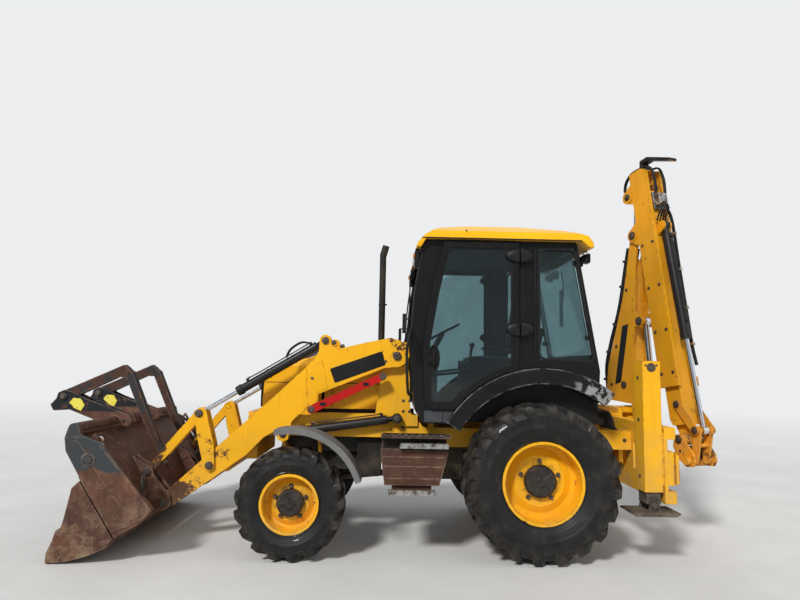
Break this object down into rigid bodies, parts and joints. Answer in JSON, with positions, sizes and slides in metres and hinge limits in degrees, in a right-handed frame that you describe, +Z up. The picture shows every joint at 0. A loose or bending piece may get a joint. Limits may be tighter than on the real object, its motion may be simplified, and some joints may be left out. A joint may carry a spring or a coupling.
{
  "type": "backhoe loader",
  "caption": "Tractor with a cab, a front loader with a clamshell bucket and folding pallet forks, and a side-shifting rear excavator arm folded for the road.",
  "frame": {"origin": "on the ground under the middle of the machine's length and width", "axes": "+X from the loader towards the rear excavator arm, +Y to the machine's right-hand side when it looks at its rear, +Z up"},
  "size_m": [6.4402, 2.364, 4.0176],
  "materials": {
    "body_yellow": "gloss paint, faded and scuffed",
    "frame_black": "satin paint",
    "engine_grey": "oily cast iron",
    "tyre": "dusty rubber",
    "rim_yellow": "gloss paint, dusty",
    "cab_black": "satin paint",
    "tinted_glass": "tinted glass",
    "fender_black": "moulded, scratched",
    "step_brown": "paint under dried mud",
    "seat_cloth": "woven cloth",
    "trim_grey": "grained plastic",
    "exhaust_black": "heat-dulled paint",
    "lamp_clear": "clear lens in a black body",
    "rod_chrome": "polished",
    "barrel_black": "gloss paint",
    "rusty_steel": "worn paint and rust",
    "fork_steel": "rusty forged steel",
    "guard_grey": "worn grey paint",
    "strut_red": "gloss paint",
    "leg_grey": "worn paint"
  },
  "bodies": {
    "root": {"main_frame": "body_yellow", "engine_block": "engine_grey", "driveline": "frame_black", "cab_frame": "cab_black", "cab_roof": "body_yellow", "cab_glass": "tinted_glass", "fenders": "fender_black", "tanks": "step_brown", "seat": "seat_cloth", "console": "trim_grey", "exhaust": "exhaust_black", "lamps": "lamp_clear", "mirrors": "trim_grey", "rear_frame": "body_yellow"},
    "hood": {"hood": "body_yellow", "grille": "trim_grey"},
    "knuckle_l": {"knuckle_l": "guard_grey"},
    "knuckle_r": {"knuckle_r": "guard_grey"},
    "wheel_fl": {"tyre_fl": "tyre", "rim_fl": "rim_yellow"},
    "wheel_fr": {"tyre_fr": "tyre", "rim_fr": "rim_yellow"},
    "wheel_rl": {"tyre_rl": "tyre", "rim_rl": "rim_yellow"},
    "wheel_rr": {"tyre_rr": "tyre", "rim_rr": "rim_yellow"},
    "door_l": {"door_l": "cab_black", "door_glass_l": "tinted_glass"},
    "door_r": {"door_r": "cab_black", "door_glass_r": "tinted_glass"},
    "loader_arms": {"loader_arms": "body_yellow", "safety_strut": "strut_red"},
    "lift_barrel": {"lift_barrels": "barrel_black"},
    "lift_rod": {"lift_rods": "rod_chrome"},
    "tilt_barrel": {"tilt_barrels": "barrel_black"},
    "tilt_rod": {"tilt_rods": "rod_chrome"},
    "tilt_lever": {"tilt_levers": "body_yellow"},
    "tilt_link": {"tilt_links": "body_yellow"},
    "bucket": {"bucket": "rusty_steel"},
    "clam": {"clam": "rusty_steel"},
    "clam_barrel": {"clam_barrels": "barrel_black"},
    "clam_rod": {"clam_rods": "rod_chrome"},
    "fork_l": {"fork_l": "fork_steel"},
    "fork_r": {"fork_r": "fork_steel"},
    "leg_l": {"leg_l": "leg_grey"},
    "leg_r": {"leg_r": "leg_grey"},
    "carriage": {"carriage": "body_yellow"},
    "kingpost": {"kingpost": "body_yellow"},
    "boom": {"boom": "body_yellow"},
    "boom_barrel": {"boom_barrel": "barrel_black"},
    "boom_rod": {"boom_rod": "rod_chrome"},
    "dipper": {"dipper": "body_yellow"},
    "dipper_barrel": {"dipper_barrel": "barrel_black"},
    "dipper_rod": {"dipper_rod": "rod_chrome"},
    "inner_dipper": {"inner_dipper": "body_yellow"},
    "bucket_barrel": {"bucket_barrel": "barrel_black"},
    "bucket_rod": {"bucket_rod": "rod_chrome"},
    "tip_lever": {"tip_levers": "body_yellow"},
    "tip_link": {"tip_link": "body_yellow"},
    "hitch": {"hitch": "body_yellow"}
  },
  "joints": [
    {"name": "steer_l", "type": "hinge", "parent": "root", "child": "knuckle_l", "pos_m": [-0.821, -0.7, 0.475], "axis": [0, 0, 1], "range_deg": [-40, 40]},
    {"name": "steer_r", "type": "hinge", "parent": "root", "child": "knuckle_r", "pos_m": [-0.821, 0.7, 0.475], "axis": [0, 0, 1], "range_deg": [-41, 41]},
    {"name": "wheel_fl_spin", "type": "hinge", "parent": "knuckle_l", "child": "wheel_fl", "pos_m": [-0.821, -0.93, 0.475], "axis": [0, -1, 0], "continuous": true},
    {"name": "wheel_fr_spin", "type": "hinge", "parent": "knuckle_r", "child": "wheel_fr", "pos_m": [-0.821, 0.93, 0.475], "axis": [0, -1, 0], "continuous": true},
    {"name": "wheel_rl_spin", "type": "hinge", "parent": "root", "child": "wheel_rl", "pos_m": [1.349, -0.895, 0.68], "axis": [0, -1, 0], "continuous": true},
    {"name": "wheel_rr_spin", "type": "hinge", "parent": "root", "child": "wheel_rr", "pos_m": [1.349, 0.895, 0.68], "axis": [0, -1, 0], "continuous": true},
    {"name": "door_l_open", "type": "hinge", "parent": "root", "child": "door_l", "pos_m": [1.199, -0.806, 2.3], "axis": [0, 0, 1], "range_deg": [0, 75]},
    {"name": "door_r_open", "type": "hinge", "parent": "root", "child": "door_r", "pos_m": [1.199, 0.806, 2.3], "axis": [0, 0, -1], "range_deg": [0, 75]},
    {"name": "hood_open", "type": "hinge", "parent": "root", "child": "hood", "pos_m": [-1.211, 0, 1.222], "axis": [0, -1, 0], "range_deg": [0, 50]},
    {"name": "loader_lift", "type": "hinge", "parent": "root", "child": "loader_arms", "pos_m": [0.079, 0, 1.756], "axis": [0, 1, 0], "range_deg": [0, 75]},
    {"name": "lift_barrel_turn", "type": "hinge", "parent": "root", "child": "lift_barrel", "pos_m": [0.09, 0, 1.168], "axis": [0, 1, 0], "range_deg": [-1, 66]},
    {"name": "lift_rod_slide", "type": "slide", "parent": "lift_barrel", "child": "lift_rod", "axis": [-0.9893, 0, -0.1459], "range_m": [-0.01, 0.7]},
    {"name": "bucket_tilt", "type": "hinge", "parent": "loader_arms", "child": "bucket", "pos_m": [-2.046, 0, 0.376], "axis": [0, -1, 0], "range_deg": [-40, 75]},
    {"name": "tilt_lever_turn", "type": "hinge", "parent": "loader_arms", "child": "tilt_lever", "pos_m": [-1.643, 0, 0.713], "axis": [0, -1, 0], "range_deg": [-30, 55]},
    {"name": "tilt_link_turn", "type": "hinge", "parent": "tilt_lever", "child": "tilt_link", "pos_m": [-1.761, 0, 1.187], "axis": [0, -1, 0], "range_deg": [-48, 26]},
    {"name": "tilt_barrel_turn", "type": "hinge", "parent": "loader_arms", "child": "tilt_barrel", "pos_m": [-0.607, 0, 1.89], "axis": [0, -1, 0], "range_deg": [-3, 2]},
    {"name": "tilt_rod_slide", "type": "slide", "parent": "tilt_barrel", "child": "tilt_rod", "axis": [-0.854, 0, -0.5203], "range_m": [-0.227, 0.418]},
    {"name": "clam_open", "type": "hinge", "parent": "bucket", "child": "clam", "pos_m": [-2.478, 0, 0.836], "axis": [0, 1, 0], "range_deg": [0, 80]},
    {"name": "clam_barrel_turn", "type": "hinge", "parent": "bucket", "child": "clam_barrel", "pos_m": [-2.081, 0, 0.43], "axis": [0, 1, 0], "range_deg": [-1, 7]},
    {"name": "clam_rod_slide", "type": "slide", "parent": "clam_barrel", "child": "clam_rod", "axis": [-0.5547, 0, 0.8321], "range_m": [-0.2, 0.01]},
    {"name": "fork_l_fold", "type": "hinge", "parent": "bucket", "child": "fork_l", "pos_m": [-3.117, -0.35, 1.312], "axis": [0, 1, 0], "range_deg": [-250, 0]},
    {"name": "fork_r_fold", "type": "hinge", "parent": "bucket", "child": "fork_r", "pos_m": [-3.117, 0.35, 1.312], "axis": [0, 1, 0], "range_deg": [-250, 0]},
    {"name": "leg_l_down", "type": "slide", "parent": "root", "child": "leg_l", "axis": [0, 0, -1], "range_m": [0, 0.5]},
    {"name": "leg_r_down", "type": "slide", "parent": "root", "child": "leg_r", "axis": [0, 0, -1], "range_m": [0, 0.5]},
    {"name": "sideshift", "type": "slide", "parent": "root", "child": "carriage", "axis": [0, -1, 0], "range_m": [0, 1]},
    {"name": "slew", "type": "hinge", "parent": "carriage", "child": "kingpost", "pos_m": [2.709, 0.5, 0.88], "axis": [0, 0, 1], "range_deg": [-20, 160]},
    {"name": "boom_lower", "type": "hinge", "parent": "kingpost", "child": "boom", "pos_m": [2.79451, 0.26508, 0.98], "axis": [0.9397, 0.342, 0], "range_deg": [-6, 110]},
    {"name": "boom_barrel_turn", "type": "hinge", "parent": "kingpost", "child": "boom_barrel", "pos_m": [2.86291, 0.07714, 0.64], "axis": [0.9397, 0.342, 0], "range_deg": [-7, 102]},
    {"name": "boom_rod_slide", "type": "slide", "parent": "boom_barrel", "child": "boom_rod", "axis": [-0.0327, 0.0899, 0.9954], "range_m": [-0.632, 0.044]},
    {"name": "dipper_out", "type": "hinge", "parent": "boom", "child": "dipper", "pos_m": [2.79964, 0.25098, 3.15], "axis": [-0.9397, -0.342, 0], "range_deg": [0, 125]},
    {"name": "dipper_barrel_turn", "type": "hinge", "parent": "boom", "child": "dipper_barrel", "pos_m": [2.7261, 0.45302, 1.5], "axis": [-0.9397, -0.342, 0], "range_deg": [-1, 16]},
    {"name": "dipper_rod_slide", "type": "slide", "parent": "dipper_barrel", "child": "dipper_rod", "axis": [0.0252, -0.0694, 0.9973], "range_m": [-0.715, 0.01]},
    {"name": "dipper_extend", "type": "slide", "parent": "dipper", "child": "inner_dipper", "axis": [0.0553, -0.1519, -0.9869], "range_m": [0, 1.15]},
    {"name": "hitch_roll", "type": "hinge", "parent": "inner_dipper", "child": "hitch", "pos_m": [3.00166, -0.30407, 0.99716], "axis": [-0.9397, -0.342, 0], "range_deg": [0, 125]},
    {"name": "tip_lever_turn", "type": "hinge", "parent": "inner_dipper", "child": "tip_lever", "pos_m": [2.98455, -0.25707, 1.3335], "axis": [-0.9397, -0.342, 0], "range_deg": [-1, 83]},
    {"name": "tip_link_turn", "type": "hinge", "parent": "tip_lever", "child": "tip_link", "pos_m": [3.05725, -0.45682, 1.09978], "axis": [-0.9397, -0.342, 0], "range_deg": [-96, 1]},
    {"name": "bucket_ram_barrel_turn", "type": "hinge", "parent": "inner_dipper", "child": "bucket_barrel", "pos_m": [2.91878, -0.07637, 3.20705], "axis": [-0.9397, -0.342, 0], "range_deg": [-1, 7]},
    {"name": "bucket_ram_rod_slide", "type": "slide", "parent": "bucket_barrel", "child": "bucket_rod", "axis": [0.0645, -0.1773, -0.982], "range_m": [-0.374, 0.01]}
  ],
  "couplings": [
    {"joint": "steer_r", "follows": "steer_l", "ratio": 1},
    {"joint": "lift_barrel_turn", "follows": "loader_lift", "ratio": 0.86405},
    {"joint": "lift_rod_slide", "follows": "loader_lift", "m_per_rad": 0.52681},
    {"joint": "tilt_lever_turn", "follows": "bucket_tilt", "ratio": 0.71038},
    {"joint": "tilt_link_turn", "follows": "bucket_tilt", "ratio": -0.62},
    {"joint": "tilt_barrel_turn", "follows": "bucket_tilt", "ratio": -0.017127},
    {"joint": "tilt_rod_slide", "follows": "bucket_tilt", "m_per_rad": 0.3114},
    {"joint": "clam_barrel_turn", "follows": "clam_open", "ratio": 0.062789},
    {"joint": "clam_rod_slide", "follows": "clam_open", "m_per_rad": -0.13573},
    {"joint": "boom_barrel_turn", "follows": "boom_lower", "ratio": 0.915},
    {"joint": "boom_rod_slide", "follows": "boom_lower", "m_per_rad": -0.32372},
    {"joint": "dipper_barrel_turn", "follows": "dipper_out", "ratio": 0.11672},
    {"joint": "dipper_rod_slide", "follows": "dipper_out", "m_per_rad": -0.32338},
    {"joint": "tip_lever_turn", "follows": "hitch_roll", "ratio": 0.65387},
    {"joint": "tip_link_turn", "follows": "hitch_roll", "ratio": -0.758},
    {"joint": "bucket_ram_barrel_turn", "follows": "hitch_roll", "ratio": 0.043144},
    {"joint": "bucket_ram_rod_slide", "follows": "hitch_roll", "m_per_rad": -0.16685}
  ]
}
